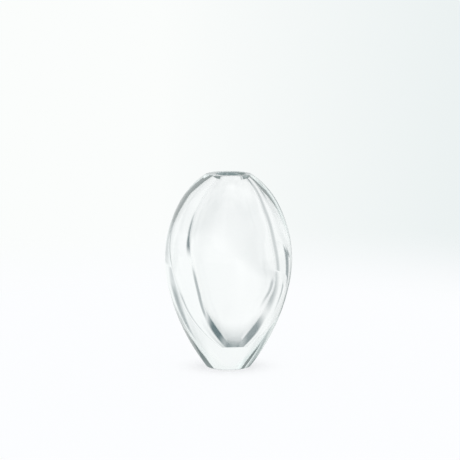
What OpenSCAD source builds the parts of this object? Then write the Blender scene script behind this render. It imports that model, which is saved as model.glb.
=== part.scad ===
// Egg-shaped bud vase blown in one piece of thick clear glass.
// The wall is closed at a flat ground foot and opens at a small round mouth.
// Millimetres, +Z up, origin at the middle of the foot where the vase stands.

/* [Egg] */
// Height from the foot to the rim
height = 120; // [112:1:126]
// Widest diameter
width = 78.4; // [72:0.2:88]
// Share of the height at which the vase is widest
belly_share = 0.557; // [0.54:0.001:0.58]

/* [Outside] */
// Radius of the curve round the belly
belly_arc = 73.4; // [70:0.2:90]
// Angle below the belly at which the flank takes over
flank_join = 11.7; // [8:0.1:16]
// Radius of the long curve down to the foot
flank_arc = 125; // [115:1:140]
// Angle above the belly at which the shoulder takes over
shoulder_join = 28.7; // [26:0.1:32]
// Radius of the shoulder up to the rim
shoulder_arc = 50; // [47:0.5:55]
// Rounding between the shoulder and the flat rim
rim_round = 2.5; // [1:0.1:4]
// Rounding round the edge of the foot
foot_round = 1; // [0.5:0.1:2]

/* [Mouth] */
// Diameter of the mouth
mouth_d = 18.6; // [14:0.2:22]
// Rounding of the edge inside the mouth
mouth_round = 0.6; // [0.3:0.1:1]

/* [Hollow] */
// Widest radius of the hollow
hollow_r = 25.9; // [23:0.1:28]
// Height of that radius above the foot
hollow_z = 68.5; // [64:0.5:72]
// Height of the hollow's flat floor above the foot
floor_z = 17.5; // [14:0.5:22]
// Radius of the curve up from the floor
lower_arc = 73; // [69:1:84]
// Radius of the curve above the widest part
upper_arc = 74; // [70:1:80]
// Angle above the widest part at which the neck takes over
neck_join = 31; // [25:0.5:34]
// Radius of the neck's curve up to the mouth
neck_arc = 46; // [41:0.5:50]
// Distance from the vase's axis to the hollow's axis
hollow_shift = 1.5; // [0:0.1:2.5]

/* [Hidden] */
glass = [0.86, 0.92, 0.91, 0.45];
$fn = 128;

belly_z = height * belly_share;

// A point at a distance and an angle from another.
function polar(from, r, a) = from + r * [cos(a), sin(a)];

// The centre of an arc that takes over from another where it points along angle a.
function next_centre(from, r_from, r_to, a) = polar(from, r_from - r_to, a);

// The angle from one point to another.
function bearing(from, to) = atan2(to.y - from.y, to.x - from.x);

// The centre of a rounding that touches an arc from inside, at height z.
function rounding_centre(from, r_from, r, z) = [from.x + sqrt(pow(r_from - r, 2) - pow(z - from.y, 2)), z];

// A slice of a disc, kept to the side of the axis that turns.
module arc_slice(centre, r, from, to) {
    reach = 3 * r;
    intersection() {
        translate(centre) circle(r = r);
        translate(centre) polygon([[0, 0], polar([0, 0], reach, from), polar([0, 0], reach, to)]);
        translate([0, -height]) square([width, 3 * height]);
    }
}
module outside() {
    belly = [width / 2 - belly_arc, belly_z];
    flank = next_centre(belly, belly_arc, flank_arc, -flank_join);
    shoulder = next_centre(belly, belly_arc, shoulder_arc, shoulder_join);
    foot = rounding_centre(flank, flank_arc, foot_round, foot_round);
    rim = rounding_centre(shoulder, shoulder_arc, rim_round, height - rim_round);
    foot_turn = bearing(flank, foot);
    rim_turn = bearing(shoulder, rim);
    polygon([
        [0, 0], [foot.x, 0],
        polar(foot, foot_round, foot_turn),
        polar(belly, belly_arc, -flank_join),
        polar(belly, belly_arc, shoulder_join),
        polar(rim, rim_round, rim_turn),
        [rim.x, height], [0, height]
    ]);
    arc_slice(foot, foot_round, -90, foot_turn);
    arc_slice(flank, flank_arc, foot_turn, -flank_join);
    arc_slice(belly, belly_arc, -flank_join, shoulder_join);
    arc_slice(shoulder, shoulder_arc, shoulder_join, rim_turn);
    arc_slice(rim, rim_round, rim_turn, 90);
}
module hollow() {
    low = [hollow_r - lower_arc, hollow_z];
    high = [hollow_r - upper_arc, hollow_z];
    neck = next_centre(high, upper_arc, neck_arc, neck_join);
    mouth_r = mouth_d / 2;
    floor_turn = asin((floor_z - low.y) / lower_arc);
    mouth_turn = acos((mouth_r - neck.x) / neck_arc);
    edge = polar(neck, neck_arc, mouth_turn);
    polygon([
        [0, floor_z],
        polar(low, lower_arc, floor_turn),
        [hollow_r, hollow_z],
        polar(high, upper_arc, neck_join),
        edge,
        [mouth_r, height + 1], [0, height + 1]
    ]);
    arc_slice(low, lower_arc, floor_turn, 0);
    arc_slice(high, upper_arc, 0, neck_join);
    arc_slice(neck, neck_arc, neck_join, mouth_turn);
    difference() {
        translate([mouth_r - 1, height - mouth_round]) square([mouth_round + 1, mouth_round + 1]);
        translate([mouth_r + mouth_round, height - mouth_round]) circle(r = mouth_round);
    }
}
module vase_body() {
    color(glass) difference() {
        rotate_extrude() outside();
        translate([hollow_shift, 0, 0]) rotate_extrude() hollow();
    }
}
vase_body();
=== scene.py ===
"""An egg-shaped bud vase of thick clear glass on a pale studio table.

The vase is one piece of glass. Its outside and its hollow are turned from arcs
that follow on from each other, so the wall is closed at the foot and opens at the
mouth. Sizes are in metres, with the origin at the middle of the foot.
"""

import math

import bmesh
import bpy
from mathutils import Matrix, Vector


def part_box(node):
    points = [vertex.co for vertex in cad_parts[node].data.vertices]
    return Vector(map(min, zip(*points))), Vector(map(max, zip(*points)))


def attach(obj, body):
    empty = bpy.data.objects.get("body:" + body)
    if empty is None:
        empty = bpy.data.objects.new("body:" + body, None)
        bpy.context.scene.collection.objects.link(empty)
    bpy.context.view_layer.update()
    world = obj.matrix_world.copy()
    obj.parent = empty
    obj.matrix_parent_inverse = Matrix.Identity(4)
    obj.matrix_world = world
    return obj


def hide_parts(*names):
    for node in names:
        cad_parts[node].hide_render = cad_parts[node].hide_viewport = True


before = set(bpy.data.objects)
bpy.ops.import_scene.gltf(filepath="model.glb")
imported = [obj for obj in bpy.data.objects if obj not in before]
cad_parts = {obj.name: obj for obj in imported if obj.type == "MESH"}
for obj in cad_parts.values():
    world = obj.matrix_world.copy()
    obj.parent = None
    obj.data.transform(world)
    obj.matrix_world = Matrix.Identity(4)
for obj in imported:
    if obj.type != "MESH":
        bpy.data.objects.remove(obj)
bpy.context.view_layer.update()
low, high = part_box("vase_body")

bl_info = {
    "name": "Glass bud vase",
    "version": (1, 0, 0),
    "blender": (4, 5, 0),
    "location": "View3D > Sidebar > Bud vase",
    "description": "Makes an egg-shaped bud vase of thick clear glass and its studio",
    "category": "Add Mesh",
}

MM = 0.001
TURN_STEPS = 256
ARC_STEP = math.radians(1.2)
LEAST_STEPS = 4
# Points of the drawn outline closer than this aren't drawn twice, and points of the spun mesh are joined.
SAME_SPOT = 0.0001 * MM
JOIN_GAP = 0.001 * MM
# Edges sharper than this stay crisp.
CRISP_ANGLE = math.radians(40)
# Shares of the height between which the hollow passes over to the mouth's own offset.
NECK_SPAN = (0.8, 0.97)


class OutsideShape(bpy.types.PropertyGroup):
    """The outside of the vase, from the foot to the rim."""

    height: bpy.props.FloatProperty(
        name="Height", description="From the foot to the rim", default=high.z - low.z, unit="LENGTH"
    )
    width: bpy.props.FloatProperty(
        name="Width", description="Widest diameter", default=high.x - low.x, unit="LENGTH"
    )
    belly_share: bpy.props.FloatProperty(
        name="Belly share", description="Share of the height at which the vase is widest", default=0.557
    )
    belly_arc: bpy.props.FloatProperty(
        name="Belly arc",
        description="Radius of the curve round the belly",
        default=73.4 * MM,
        unit="LENGTH",
    )
    flank_join: bpy.props.FloatProperty(
        name="Flank join",
        description="Angle below the belly at which the flank takes over",
        default=math.radians(11.7),
        subtype="ANGLE",
    )
    flank_arc: bpy.props.FloatProperty(
        name="Flank arc",
        description="Radius of the long curve down to the foot",
        default=125 * MM,
        unit="LENGTH",
    )
    shoulder_join: bpy.props.FloatProperty(
        name="Shoulder join",
        description="Angle above the belly at which the shoulder takes over",
        default=math.radians(28.7),
        subtype="ANGLE",
    )
    shoulder_arc: bpy.props.FloatProperty(
        name="Shoulder arc",
        description="Radius of the shoulder up to the rim",
        default=50 * MM,
        unit="LENGTH",
    )
    rim_round: bpy.props.FloatProperty(
        name="Rim rounding",
        description="Rounding between the shoulder and the flat rim",
        default=2.5 * MM,
        unit="LENGTH",
    )
    foot_round: bpy.props.FloatProperty(
        name="Foot rounding",
        description="Rounding round the edge of the foot",
        default=1 * MM,
        unit="LENGTH",
    )


class HollowShape(bpy.types.PropertyGroup):
    """The mouth and the hollow inside the vase."""

    mouth_width: bpy.props.FloatProperty(
        name="Mouth width", description="Diameter of the mouth", default=18.6 * MM, unit="LENGTH"
    )
    mouth_round: bpy.props.FloatProperty(
        name="Mouth rounding",
        description="Rounding of the edge inside the mouth",
        default=0.6 * MM,
        unit="LENGTH",
    )
    mouth_offset: bpy.props.FloatProperty(
        name="Mouth offset",
        description="How far the mouth lies to the right",
        default=1.5 * MM,
        unit="LENGTH",
    )
    radius: bpy.props.FloatProperty(
        name="Radius", description="Widest radius of the hollow", default=25.9 * MM, unit="LENGTH"
    )
    widest_at: bpy.props.FloatProperty(
        name="Widest at",
        description="Height of the hollow's widest part",
        default=68.5 * MM,
        unit="LENGTH",
    )
    floor_height: bpy.props.FloatProperty(
        name="Floor height",
        description="Height of the hollow's flat floor",
        default=17.5 * MM,
        unit="LENGTH",
    )
    lower_arc: bpy.props.FloatProperty(
        name="Lower arc",
        description="Radius of the curve up from the floor",
        default=73 * MM,
        unit="LENGTH",
    )
    upper_arc: bpy.props.FloatProperty(
        name="Upper arc",
        description="Radius of the curve above the widest part",
        default=74 * MM,
        unit="LENGTH",
    )
    neck_join: bpy.props.FloatProperty(
        name="Neck join",
        description="Angle above the widest part at which the neck takes over",
        default=math.radians(31),
        subtype="ANGLE",
    )
    neck_arc: bpy.props.FloatProperty(
        name="Neck arc",
        description="Radius of the neck's curve up to the mouth",
        default=46 * MM,
        unit="LENGTH",
    )
    upper_lean: bpy.props.FloatProperty(
        name="Upper lean",
        description="How far the upper hollow lies to the right",
        default=0.4 * MM,
        unit="LENGTH",
    )
    lower_lean: bpy.props.FloatProperty(
        name="Lower lean",
        description="How far the lower hollow lies to the right, where it starts to straighten",
        default=3.3 * MM,
        unit="LENGTH",
    )
    floor_lean: bpy.props.FloatProperty(
        name="Floor lean",
        description="How far the hollow's floor lies to the right",
        default=2.3 * MM,
        unit="LENGTH",
    )
    turn_low: bpy.props.FloatProperty(
        name="Turn's foot",
        description="Height at which the lower lean starts to pass into the upper one",
        default=48.5 * MM,
        unit="LENGTH",
    )
    turn_high: bpy.props.FloatProperty(
        name="Turn's head", description="Height at which it has done so", default=85 * MM, unit="LENGTH"
    )


class GlassLook(bpy.types.PropertyGroup):
    """The glass itself."""

    tint: bpy.props.FloatVectorProperty(
        name="Tint",
        description="Colour that thick glass takes on",
        size=3,
        subtype="COLOR",
        default=(0.80, 0.93, 0.90),
    )
    depth: bpy.props.FloatProperty(
        name="Tint density",
        description="How soon the tint shows",
        default=3.0,
        min=0,
    )
    bend: bpy.props.FloatProperty(
        name="IOR",
        description="How much the glass bends light",
        default=1.5,
        min=1,
    )
    # The glass is painted with a glow of this brightness and tone where a path of light is cut short.
    lost_light: bpy.props.FloatProperty(
        name="Lost light",
        description="Brightness of light that has turned many times in the glass",
        default=0.14,
        min=0,
    )
    lost_tone: bpy.props.FloatVectorProperty(
        name="Lost light's tone",
        description="Colour of that light",
        size=3,
        subtype="COLOR",
        default=(0.9, 1, 1),
    )
    wave_size: bpy.props.FloatProperty(
        name="Wave size",
        description="Size of the soft waves left by hand work",
        default=14 * MM,
        unit="LENGTH",
    )
    wave_height: bpy.props.FloatProperty(
        name="Wave height", description="Height of those waves", default=0.04 * MM, unit="LENGTH"
    )
    drift_size: bpy.props.FloatProperty(
        name="Drift size",
        description="Size of the patches in which the tint varies",
        default=28 * MM,
        unit="LENGTH",
    )
    tint_drift: bpy.props.FloatProperty(
        name="Tint drift",
        description="How much the tint's density varies through the glass",
        default=0.3,
        min=0,
        max=1,
    )


class StudioLook(bpy.types.PropertyGroup):
    """The table, the light and the view."""

    distance: bpy.props.FloatProperty(
        name="Distance", description="From the camera to the vase", default=1.44, unit="LENGTH"
    )
    elevation: bpy.props.FloatProperty(
        name="Elevation",
        description="How far the camera looks down",
        default=math.radians(8),
        subtype="ANGLE",
    )
    aim: bpy.props.FloatVectorProperty(
        name="Aim",
        description="The point the camera looks at",
        size=3,
        unit="LENGTH",
        default=(0.92 * MM, 0, 85 * MM),
    )
    view_width: bpy.props.FloatProperty(
        name="View width",
        description="Width that the camera takes in at the vase",
        default=283.1 * MM,
        unit="LENGTH",
    )
    table_white: bpy.props.FloatVectorProperty(
        name="Table",
        description="Colour of the table",
        size=3,
        subtype="COLOR",
        default=(0.975, 0.985, 1.0),
    )
    wall_white: bpy.props.FloatVectorProperty(
        name="Wall",
        description="Colour of the wall on the left",
        size=3,
        subtype="COLOR",
        default=(0.965, 0.982, 0.973),
    )
    wall_shade: bpy.props.FloatVectorProperty(
        name="Wall's shade",
        description="Colour of the wall on the right",
        size=3,
        subtype="COLOR",
        default=(0.84, 0.888, 0.888),
    )
    card_dark: bpy.props.FloatVectorProperty(
        name="Dark",
        description="Tone of the darkest card",
        size=3,
        subtype="COLOR",
        default=(0.0, 0.06, 0.075),
    )
    card_pale: bpy.props.FloatVectorProperty(
        name="Pale",
        description="Tone of the palest card",
        size=3,
        subtype="COLOR",
        default=(0.985, 1.0, 1.0),
    )
    shadow_near: bpy.props.FloatProperty(
        name="Shadow near",
        description="How much of the shadow shows at the foot",
        default=0.35,
        min=0,
        max=1,
    )
    shadow_far: bpy.props.FloatProperty(
        name="Shadow far",
        description="How much of the shadow shows away from the foot",
        default=0.03,
        min=0,
        max=1,
    )
    shadow_reach: bpy.props.FloatProperty(
        name="Shadow reach",
        description="Distance by which the shadow has softened",
        default=36 * MM,
        unit="LENGTH",
    )
    table_size: bpy.props.FloatProperty(
        name="Table size",
        description="Radius of the table as the glass sees it",
        default=1.3,
        unit="LENGTH",
    )
    table_fade: bpy.props.FloatProperty(
        name="Table fade",
        description="Distance at which the table starts to fade",
        default=0.25,
        unit="LENGTH",
    )
    table_reach: bpy.props.FloatProperty(
        name="Table reach",
        description="Distance at which the table has faded",
        default=0.65,
        unit="LENGTH",
    )


class Card:
    """A patch of the studio: where it is, its half sizes, how soft its edge is and how bright it is."""

    def __init__(self, name, spot, reach, soft, bright):
        self.name, self.spot, self.reach, self.soft, self.bright = name, spot, reach, soft, bright


class Arc:
    """An arc of a turned shape's outline, by its centre, its radius and its two angles."""

    def __init__(self, centre, radius, start, end):
        self.centre, self.radius, self.start, self.end = Vector(centre), radius, start, end

    def point(self, angle):
        return self.centre + self.radius * Vector((math.cos(angle), math.sin(angle)))


def follow(arc_centre, radius, next_radius, angle):
    """The centre of an arc that takes over where another points along an angle."""
    return Vector(arc_centre) + (radius - next_radius) * Vector((math.cos(angle), math.sin(angle)))


def rounding(centre, radius, small, height):
    """The centre of a small rounding that touches an arc from inside, and the angle to it."""
    reach = math.sqrt((radius - small) ** 2 - (height - centre[1]) ** 2)
    spot = Vector((centre[0] + reach, height))
    return spot, math.atan2(height - centre[1], reach)


def outside_arcs(shape):
    """The arcs from the foot's edge up to the flat rim."""
    belly = Vector((shape.width / 2 - shape.belly_arc, shape.height * shape.belly_share))
    flank = follow(belly, shape.belly_arc, shape.flank_arc, -shape.flank_join)
    shoulder = follow(belly, shape.belly_arc, shape.shoulder_arc, shape.shoulder_join)
    foot, foot_turn = rounding(flank, shape.flank_arc, shape.foot_round, shape.foot_round)
    rim_height = shape.height - shape.rim_round
    rim, rim_turn = rounding(shoulder, shape.shoulder_arc, shape.rim_round, rim_height)
    return [
        Arc(foot, shape.foot_round, -math.pi / 2, foot_turn),
        Arc(flank, shape.flank_arc, foot_turn, -shape.flank_join),
        Arc(belly, shape.belly_arc, -shape.flank_join, shape.shoulder_join),
        Arc(shoulder, shape.shoulder_arc, shape.shoulder_join, rim_turn),
        Arc(rim, shape.rim_round, rim_turn, math.pi / 2),
    ]


def hollow_arcs(shape, height):
    """The arcs from the mouth's edge down to the hollow's floor."""
    mouth = shape.mouth_width / 2
    low_centre = Vector((shape.radius - shape.lower_arc, shape.widest_at))
    high_centre = Vector((shape.radius - shape.upper_arc, shape.widest_at))
    neck = follow(high_centre, shape.upper_arc, shape.neck_arc, shape.neck_join)
    mouth_turn = math.acos((mouth - neck.x) / shape.neck_arc)
    floor_turn = math.asin((shape.floor_height - shape.widest_at) / shape.lower_arc)
    edge = Vector((mouth + shape.mouth_round, height - shape.mouth_round))
    return [
        Arc(edge, shape.mouth_round, math.pi / 2, math.pi),
        Arc(neck, shape.neck_arc, mouth_turn, shape.neck_join),
        Arc(high_centre, shape.upper_arc, shape.neck_join, 0),
        Arc(low_centre, shape.lower_arc, 0, floor_turn),
    ]


def extend(mesh, last, spot):
    """Draws the outline on to a spot, given as its radius and height."""
    if math.hypot(last.co.x - spot[0], last.co.z - spot[1]) < SAME_SPOT:
        return last
    made = bmesh.ops.extrude_vert_indiv(mesh, verts=[last])["verts"][0]
    made.co = (spot[0], 0, spot[1])
    return made


def sweep(mesh, last, arc):
    """Draws the outline on along an arc, by spinning its last point round the arc's centre."""
    last = extend(mesh, last, arc.point(arc.start))
    angle = arc.end - arc.start
    steps = max(LEAST_STEPS, math.ceil(abs(angle) / ARC_STEP))
    swept = bmesh.ops.spin(
        mesh,
        geom=[last],
        cent=(arc.centre.x, 0, arc.centre.y),
        axis=(0, -1, 0),
        dvec=(0, 0, 0),
        angle=angle,
        space=Matrix.Identity(4),
        steps=steps,
    )
    return next(item for item in swept["geom_last"] if isinstance(item, bmesh.types.BMVert))


def ease(low_end, high_end, value):
    """A share that rises smoothly from 0 to 1 between two ends."""
    share = min(max((value - low_end) / (high_end - low_end), 0), 1)
    return share * share * (3 - 2 * share)


def set_over(shape, x, z, height):
    """How far right a point of the hollow lies once the hollow leans, from its place as turned."""
    rise = min(max((z - shape.floor_height) / (shape.turn_low - shape.floor_height), 0), 1)
    below = shape.floor_lean + (shape.lower_lean - shape.floor_lean) * rise
    neck = ease(NECK_SPAN[0] * height, NECK_SPAN[1] * height, z)
    above = shape.upper_lean + (shape.mouth_offset - shape.upper_lean) * neck
    return x + below + (above - below) * ease(shape.turn_low, shape.turn_high, z)


def turn_vase(outside, hollow):
    """The whole wall as one closed mesh: its outline is drawn, spun, and its hollow set over."""
    mesh = bmesh.new()
    inner = mesh.verts.layers.int.new("hollow")
    last = mesh.verts.new((0, 0, 0))
    for arc in outside_arcs(outside):
        last = sweep(mesh, last, arc)
    drawn = set(mesh.verts)
    for arc in hollow_arcs(hollow, outside.height):
        last = sweep(mesh, last, arc)
    extend(mesh, last, (0, hollow.floor_height))
    for vert in set(mesh.verts) - drawn:
        vert[inner] = 1
    bmesh.ops.spin(
        mesh,
        geom=mesh.verts[:] + mesh.edges[:],
        cent=(0, 0, 0),
        axis=(0, 0, 1),
        dvec=(0, 0, 0),
        angle=2 * math.pi,
        space=Matrix.Identity(4),
        steps=TURN_STEPS,
        use_merge=True,
    )
    bmesh.ops.remove_doubles(mesh, verts=mesh.verts, dist=JOIN_GAP)
    bmesh.ops.recalc_face_normals(mesh, faces=mesh.faces)
    for vert in mesh.verts:
        if vert[inner]:
            vert.co.x = set_over(hollow, vert.co.x, vert.co.z, outside.height)
    for face in mesh.faces:
        face.smooth = True
    return mesh


def clear_glass(look):
    """Clear polished glass, with a faint uneven tint in its depth, the soft waves of hand work, and a
    painted glow where a path of light is cut short.
    """
    material = bpy.data.materials.new("clear_glass")
    material.use_nodes = True
    tree = material.node_tree
    nodes = Nodes(tree)
    shader = tree.nodes["Principled BSDF"]
    shader.inputs["Base Color"].default_value = (1, 1, 1, 1)
    shader.inputs["Roughness"].default_value = 0.0
    shader.inputs["IOR"].default_value = look.bend
    shader.inputs["Transmission Weight"].default_value = 1.0
    place = nodes.add("ShaderNodeTexCoord").outputs["Object"]
    waves = nodes.add("ShaderNodeTexNoise", Vector=place, Scale=1 / look.wave_size, Detail=1.0)
    bump = nodes.add("ShaderNodeBump", Height=waves.outputs["Fac"], Distance=look.wave_height)
    bump.inputs["Strength"].default_value = 1.0
    tree.links.new(bump.outputs["Normal"], shader.inputs["Normal"])
    # A path that turns in the glass this often is cut short, so the light it would bring is painted here
    # as an even glow of the glass.
    turns = nodes.add("ShaderNodeLightPath").outputs["Glossy Depth"]
    lost = nodes.math("GREATER_THAN", turns, LAST_TURN - 0.5)
    nodes.feed(shader.inputs["Emission Strength"], nodes.math("MULTIPLY", lost, look.lost_light))
    shader.inputs["Emission Color"].default_value = (*look.lost_tone, 1)
    drift = nodes.add("ShaderNodeTexNoise", Vector=place, Scale=1 / look.drift_size, Detail=2.0)
    thin, thick = look.depth * (1 - look.tint_drift), look.depth * (1 + look.tint_drift)
    density = nodes.blend(drift.outputs["Fac"], thin, thick)
    depth = nodes.add("ShaderNodeVolumeAbsorption", Density=density)
    depth.inputs["Color"].default_value = (*look.tint, 1)
    tree.links.new(depth.outputs["Volume"], tree.nodes["Material Output"].inputs["Volume"])
    return material


def make_object(name, mesh, material):
    """An object at the origin from a finished mesh and its material."""
    data = bpy.data.meshes.new(name)
    mesh.to_mesh(data)
    mesh.free()
    data.materials.append(material)
    made = bpy.data.objects.new(name, data)
    bpy.context.scene.collection.objects.link(made)
    return made


class OBJECT_OT_glass_vase(bpy.types.Operator):
    """Make the vase from one piece of clear glass"""

    bl_idname = "object.glass_vase"
    bl_label = "Glass vase"

    def execute(self, context):
        scene = context.scene
        mesh = turn_vase(scene.vase_outside, scene.vase_hollow)
        vase = make_object("glass_vase", mesh, clear_glass(scene.vase_glass))
        vase.data.set_sharp_from_angle(angle=CRISP_ANGLE)
        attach(vase, "root")
        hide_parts("vase_body")
        return {"FINISHED"}


# What the glass looks out on. Azimuth 0 is straight behind the vase and 90 to its right.
# A card has an azimuth and an elevation, their half sizes and softness, all in degrees,
# and a brightness.
CARDS = [
    Card("left card", (-100, 10), (35, 20), (5, 5), 0.6),
    Card("left edge of the wall", (-67, 0), (6, 6), (4, 4), 0.3),
    Card("left of the camera", (-140, 40), (25, 25), (15, 15), 0.6),
    Card("right of the camera", (120, 40), (30, 5), (5, 5), 0.6),
    Card("horizon", (5, -2), (10, 3), (5, 2), 0.2),
    Card("right edge of the wall", (54, 20), (7, 13), (5, 6), 0.25),
    Card("wall above the horizon", (54, 0), (6, 7), (5, 5), 0.6),
]
# A painted shade on the table, which only light through or off the glass sees, has an azimuth in degrees
# and a distance in doublings of SHADE_UNIT, in the same way. The foot, near left and near right shades
# are a painted shadow of the vase.
PAINTED_SHADES = [
    Card("foot", (0, -1.5), (400, 2.25), (10, 0.75), 0.25),
    Card("left", (-140, 5), (50, 3.25), (10, 0.5), 0.6),
    Card("near left", (-100, 1.5), (25, 0.75), (10, 0.5), 0.1),
    Card("left side", (-80, 3.25), (5, 0.75), (3, 0.25), 0.45),
    Card("near right", (90, 1.5), (30, 0.75), (10, 0.5), 0.25),
    Card("right", (90, 4.75), (30, 2), (15, 0.5), 0.5),
    Card("right behind", (30, 4.5), (5, 1), (3, 0.5), 0.5),
    Card("far left", (-70, 6), (7, 1.25), (4, 0.5), 0.2),
    Card("behind", (-10, 1.25), (50, 1), (20, 1), 0.65),
    Card("far", (0, 6.25), (40, 0.75), (20, 0.5), 0.9),
    Card("far edge", (-5, 7), (10, 0.5), (5, 0.25), 0.25),
]
SHADE_UNIT = 10 * MM
# The number of reflections after which a path of light is cut short.
LAST_TURN = 4
WORLD_LIGHT = 0.96
TABLE_LIGHT = 1.03
# Sines of the directions between which the wall turns from its white to its shade.
WALL_SHADE_SPAN = (-0.03, 0.095)
# The even light that a matt surface gets from the world.
PLAIN_WHITE = (1.0, 1.0, 1.0)
# The table lies this far below the foot, as it does under a ground edge.
TABLE_GAP = 0.05 * MM
TABLE_SIDES = 96
# The shadow keeps its near strength up to this share of its reach.
SHADOW_CORE = 1 / 3


class Nodes:
    """Adds nodes to a tree and joins them, so a pattern can be written as arithmetic."""

    def __init__(self, tree):
        self.tree = tree

    def add(self, kind, **settings):
        """A new node. A setting with a capital is an input, and one without is the node's own."""
        node = self.tree.nodes.new(kind)
        for name, value in settings.items():
            if name[0].isupper():
                self.feed(node.inputs[name], value)
            else:
                setattr(node, name, value)
        return node

    def feed(self, socket, value):
        if isinstance(value, bpy.types.NodeSocket):
            self.tree.links.new(value, socket)
        else:
            socket.default_value = value

    def split(self, vector):
        """The three parts of a vector."""
        node = self.add("ShaderNodeSeparateXYZ")
        self.feed(node.inputs[0], vector)
        return node.outputs[:]

    def math(self, operation, *values):
        node = self.add("ShaderNodeMath", operation=operation)
        for socket, value in zip(node.inputs, values):
            self.feed(socket, value)
        return node.outputs["Value"]

    def fade(self, value, low_end, high_end):
        """1 up to a low end, falling smoothly to 0 at a high end."""
        node = self.add("ShaderNodeMapRange", interpolation_type="SMOOTHSTEP")
        ends = {"From Min": low_end, "From Max": high_end, "To Min": 1.0, "To Max": 0.0}
        for name, item in {"Value": value, **ends}.items():
            self.feed(node.inputs[name], item)
        return node.outputs["Result"]

    def blend(self, share, first, second):
        """A mix of two numbers."""
        node = self.add("ShaderNodeMix", data_type="FLOAT")
        for name, item in {"Factor": share, "A": first, "B": second}.items():
            self.feed(node.inputs[name], item)
        return node.outputs["Result"]

    def colour(self, share, first, second):
        """A mix of two colours."""
        node = self.add("ShaderNodeMix", data_type="RGBA")
        for socket, item in ((node.inputs[0], share), (node.inputs[6], first), (node.inputs[7], second)):
            self.feed(socket, item if isinstance(item, (float, bpy.types.NodeSocket)) else (*item, 1))
        return node.outputs[2]

    def grade(self, brightness, dark, pale):
        """A brightness as a colour between a dark tone and a pale one."""
        return self.colour(brightness, dark, pale)


def lay_cards(nodes, cards, azimuth, other, base):
    """The brightness that a list of cards leaves, by azimuth and by elevation or distance."""
    bright = base
    for card in cards:
        turn = nodes.math("WRAP", nodes.math("SUBTRACT", azimuth, card.spot[0]), 180.0, -180.0)
        across, along = (
            nodes.fade(nodes.math("ABSOLUTE", offset), reach - soft, reach + soft)
            for offset, reach, soft in zip(
                (turn, nodes.math("SUBTRACT", other, card.spot[1])), card.reach, card.soft
            )
        )
        bright = nodes.blend(nodes.math("MULTIPLY", across, along), bright, card.bright)
    return bright


def azimuth_of(nodes, x, y):
    """The azimuth of a direction or a place in degrees, 0 behind the vase."""
    return nodes.math("MULTIPLY", nodes.math("ARCTAN2", x, y), math.degrees(1))


def distance_of(nodes, x, y):
    """The distance of a place from the middle of the foot."""
    squares = [nodes.math("MULTIPLY", part, part) for part in (x, y)]
    return nodes.math("SQRT", nodes.math("ADD", *squares))


def card_pattern(nodes, direction):
    """The brightness of the studio in a direction."""
    x, y, z = nodes.split(direction)
    height = nodes.math("MULTIPLY", nodes.math("ARCSINE", z), math.degrees(1))
    return lay_cards(nodes, CARDS, azimuth_of(nodes, x, y), height, WORLD_LIGHT)


def painted_shade_pattern(nodes, place):
    """The painted shade of the table at a place, as light through or off the glass sees it."""
    x, y, _ = nodes.split(place)
    doublings = nodes.math("LOGARITHM", nodes.math("DIVIDE", distance_of(nodes, x, y), SHADE_UNIT), 2.0)
    return lay_cards(nodes, PAINTED_SHADES, azimuth_of(nodes, x, y), doublings, TABLE_LIGHT)


def studio_world(look):
    """A pale wall to the camera, even light on the table, and the cards to the glass."""
    world = bpy.data.worlds.new("studio")
    world.use_nodes = True
    nodes = Nodes(world.node_tree)
    sky = world.node_tree.nodes["Background"]
    place = nodes.add("ShaderNodeTexCoord")
    path = nodes.add("ShaderNodeLightPath")
    direction = place.outputs["Generated"]
    cards = nodes.grade(card_pattern(nodes, direction), look.card_dark, look.card_pale)
    lit = nodes.colour(path.outputs["Is Diffuse Ray"], cards, PLAIN_WHITE)
    span = nodes.add("ShaderNodeMapRange")
    nodes.feed(span.inputs["Value"], nodes.split(direction)[0])
    span.inputs["From Min"].default_value, span.inputs["From Max"].default_value = WALL_SHADE_SPAN
    wall = nodes.colour(span.outputs["Result"], look.wall_white, look.wall_shade)
    nodes.feed(sky.inputs["Color"], nodes.colour(path.outputs["Is Camera Ray"], lit, wall))
    return world


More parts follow.
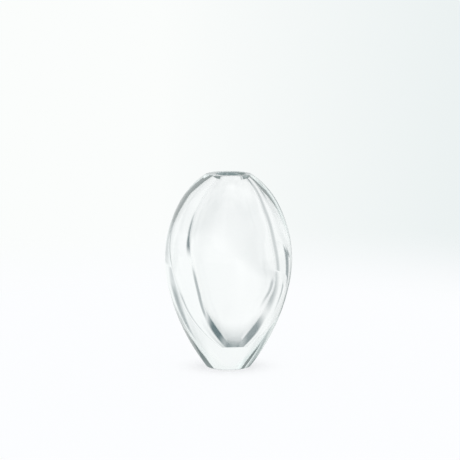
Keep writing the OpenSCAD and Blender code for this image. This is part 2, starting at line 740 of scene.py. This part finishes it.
def table_material(look):
    """A pale matt table. Its far edge fades into the wall, and it keeps a soft shadow. Light through or
    off the glass sees painted shades on it instead, a painted shadow of the vase among them.
    """
    material = bpy.data.materials.new("pale_table")
    material.use_nodes = True
    tree = material.node_tree
    nodes = Nodes(tree)
    tree.nodes.remove(tree.nodes["Principled BSDF"])
    out = tree.nodes["Material Output"]
    place = nodes.add("ShaderNodeTexCoord").outputs["Object"]
    path = nodes.add("ShaderNodeLightPath")
    matt = nodes.add("ShaderNodeBsdfDiffuse")
    matt.inputs["Color"].default_value = (*look.table_white, 1)
    glow = nodes.add("ShaderNodeEmission")
    glow.inputs["Color"].default_value = (*look.table_white, 1)
    away = distance_of(nodes, *nodes.split(place)[:2])
    pale = nodes.add("ShaderNodeMixShader")
    near = nodes.fade(away, look.shadow_reach * SHADOW_CORE, look.shadow_reach)
    nodes.feed(pale.inputs[0], nodes.blend(near, look.shadow_far, look.shadow_near))
    nodes.feed(pale.inputs[1], glow.outputs[0])
    nodes.feed(pale.inputs[2], matt.outputs[0])
    # Light through or off the glass sees painted shade here, not the lit table; at the foot it is a
    # painted shadow.
    painted_table_look = nodes.add("ShaderNodeEmission")
    painted_shades = nodes.grade(painted_shade_pattern(nodes, place), look.card_dark, look.card_pale)
    nodes.feed(painted_table_look.inputs["Color"], painted_shades)
    through = nodes.math("MAXIMUM", path.outputs["Is Transmission Ray"], path.outputs["Is Glossy Ray"])
    shown = nodes.add("ShaderNodeMixShader")
    nodes.feed(shown.inputs[0], through)
    nodes.feed(shown.inputs[1], pale.outputs[0])
    nodes.feed(shown.inputs[2], painted_table_look.outputs[0])
    clear = nodes.add("ShaderNodeBsdfTransparent")
    faded = nodes.add("ShaderNodeMixShader")
    gone = nodes.math("SUBTRACT", 1.0, nodes.fade(away, look.table_fade, look.table_reach))
    kept = nodes.math("SUBTRACT", 1.0, nodes.math("MULTIPLY", gone, path.outputs["Is Camera Ray"]))
    nodes.feed(faded.inputs[0], kept)
    nodes.feed(faded.inputs[1], clear.outputs[0])
    nodes.feed(faded.inputs[2], shown.outputs[0])
    nodes.feed(out.inputs["Surface"], faded.outputs[0])
    return material


class SCENE_OT_vase_studio(bpy.types.Operator):
    """Set out the pale table, the light and the camera"""

    bl_idname = "scene.vase_studio"
    bl_label = "Studio"

    def execute(self, context):
        scene = context.scene
        look = scene.vase_studio
        mesh = bmesh.new()
        drop = Matrix.Translation((0, 0, -TABLE_GAP))
        bmesh.ops.create_circle(
            mesh, cap_ends=True, segments=TABLE_SIDES, radius=look.table_size, matrix=drop
        )
        make_object("table", mesh, table_material(look))
        scene.world = studio_world(look)
        camera = bpy.data.objects.new("camera", bpy.data.cameras.new("camera"))
        scene.collection.objects.link(camera)
        back = Vector((0, -math.cos(look.elevation), math.sin(look.elevation)))
        camera.location = Vector(look.aim) + look.distance * back
        camera.rotation_euler = (math.pi / 2 - look.elevation, 0, 0)
        camera.data.lens = camera.data.sensor_width * look.distance / look.view_width
        scene.camera = camera
        scene.view_settings.view_transform = "Standard"
        return {"FINISHED"}


class VIEW3D_PT_bud_vase(bpy.types.Panel):
    """The sizes of the vase and the buttons that make it"""

    bl_label = "Bud vase"
    bl_space_type = "VIEW_3D"
    bl_region_type = "UI"
    bl_category = "Bud vase"

    def draw(self, context):
        for title, name in GROUPS.items():
            box = self.layout.box()
            box.label(text=title)
            settings = getattr(context.scene, name)
            for item in settings.bl_rna.properties:
                if item.identifier not in ("name", "rna_type"):
                    box.prop(settings, item.identifier)
        for operator in (OBJECT_OT_glass_vase, SCENE_OT_vase_studio):
            self.layout.operator(operator.bl_idname)


GROUPS = {
    "Outside": "vase_outside",
    "Hollow": "vase_hollow",
    "Glass": "vase_glass",
    "Studio": "vase_studio",
}
CLASSES = (
    OutsideShape,
    HollowShape,
    GlassLook,
    StudioLook,
    OBJECT_OT_glass_vase,
    SCENE_OT_vase_studio,
    VIEW3D_PT_bud_vase,
)


def register():
    for item in CLASSES:
        bpy.utils.register_class(item)
    for name, kind in zip(GROUPS.values(), CLASSES):
        setattr(bpy.types.Scene, name, bpy.props.PointerProperty(type=kind))


def unregister():
    for name in GROUPS.values():
        delattr(bpy.types.Scene, name)
    for item in reversed(CLASSES):
        bpy.utils.unregister_class(item)


def main():
    register()
    bpy.ops.scene.vase_studio()
    bpy.ops.object.glass_vase()
    bpy.context.view_layer.update()


if __name__ == "__main__":
    main()
